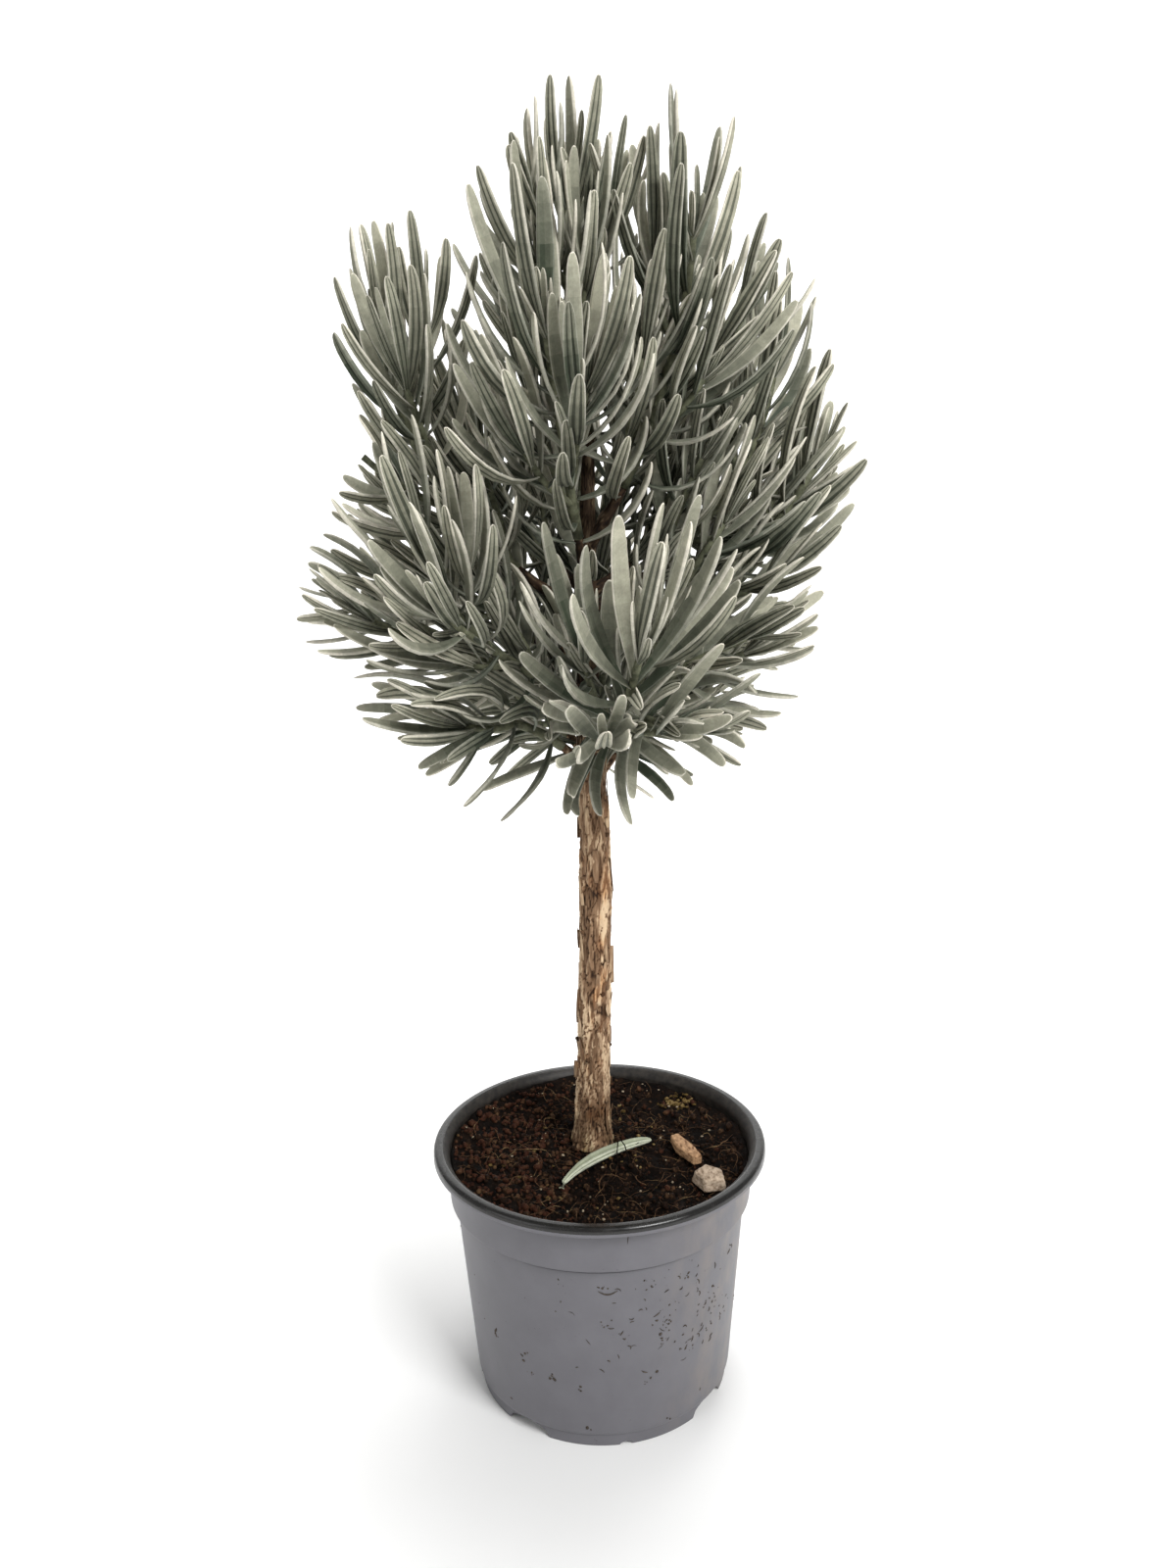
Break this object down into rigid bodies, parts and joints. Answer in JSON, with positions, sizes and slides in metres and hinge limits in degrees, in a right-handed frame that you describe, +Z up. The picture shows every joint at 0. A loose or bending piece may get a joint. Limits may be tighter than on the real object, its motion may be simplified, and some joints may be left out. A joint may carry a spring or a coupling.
{
  "type": "potted lavender",
  "caption": "Standard lavender with a bare woody trunk and a rounded head of narrow grey-green leaves, in a filled round nursery pot.",
  "frame": {"origin": "middle of the pot's underside, on the plane that the pot stands on", "axes": "+Z up along the pot's axis; -Y is the side that the picture shows"},
  "size_m": [0.2097, 0.2222, 0.5177],
  "materials": {
    "pot_plastic": "moulded matte polypropylene, mid grey outside with a near-black glossy rim and inside",
    "soil": "moist fibrous peat",
    "bark": "flaky fissured bark",
    "leaf": "felted grey-green leaf with pale rolled margins",
    "wood_chip": "split raw wood"
  },
  "bodies": {
    "root": {"pot": "pot_plastic", "soil": "soil", "trunk": "bark", "bough_leader_right": "bark", "bough_upper_front": "bark", "bough_upper_left": "bark", "bough_upper_right": "bark", "bough_back_top": "bark", "bough_back_upper_left": "bark", "bough_back_upper_right": "bark", "bough_right_outer": "bark", "bough_mid_left": "bark", "bough_low_left": "bark", "bough_front_mid": "bark", "bough_front_low": "bark", "bough_right_low": "bark", "bough_left_hang": "bark", "bough_back_left": "bark", "bough_back_right": "bark", "bough_back_mid": "bark", "bough_back_low_left": "bark", "bough_back_low": "bark", "bough_back_low_right": "bark", "foliage_leader": "leaf", "foliage_leader_right": "leaf", "foliage_upper_front": "leaf", "foliage_upper_left": "leaf", "foliage_upper_right": "leaf", "foliage_back_top": "leaf", "foliage_back_upper_left": "leaf", "foliage_back_upper_right": "leaf", "foliage_right_outer": "leaf", "foliage_mid_left": "leaf", "foliage_low_left": "leaf", "foliage_front_mid": "leaf", "foliage_front_low": "leaf", "foliage_right_low": "leaf", "foliage_left_hang": "leaf", "foliage_back_left": "leaf", "foliage_back_right": "leaf", "foliage_back_mid": "leaf", "foliage_back_low_left": "leaf", "foliage_back_low": "leaf", "foliage_back_low_right": "leaf", "fallen_leaf": "leaf", "wood_chip_long": "wood_chip", "wood_chip_short": "wood_chip"}
  },
  "joints": []
}
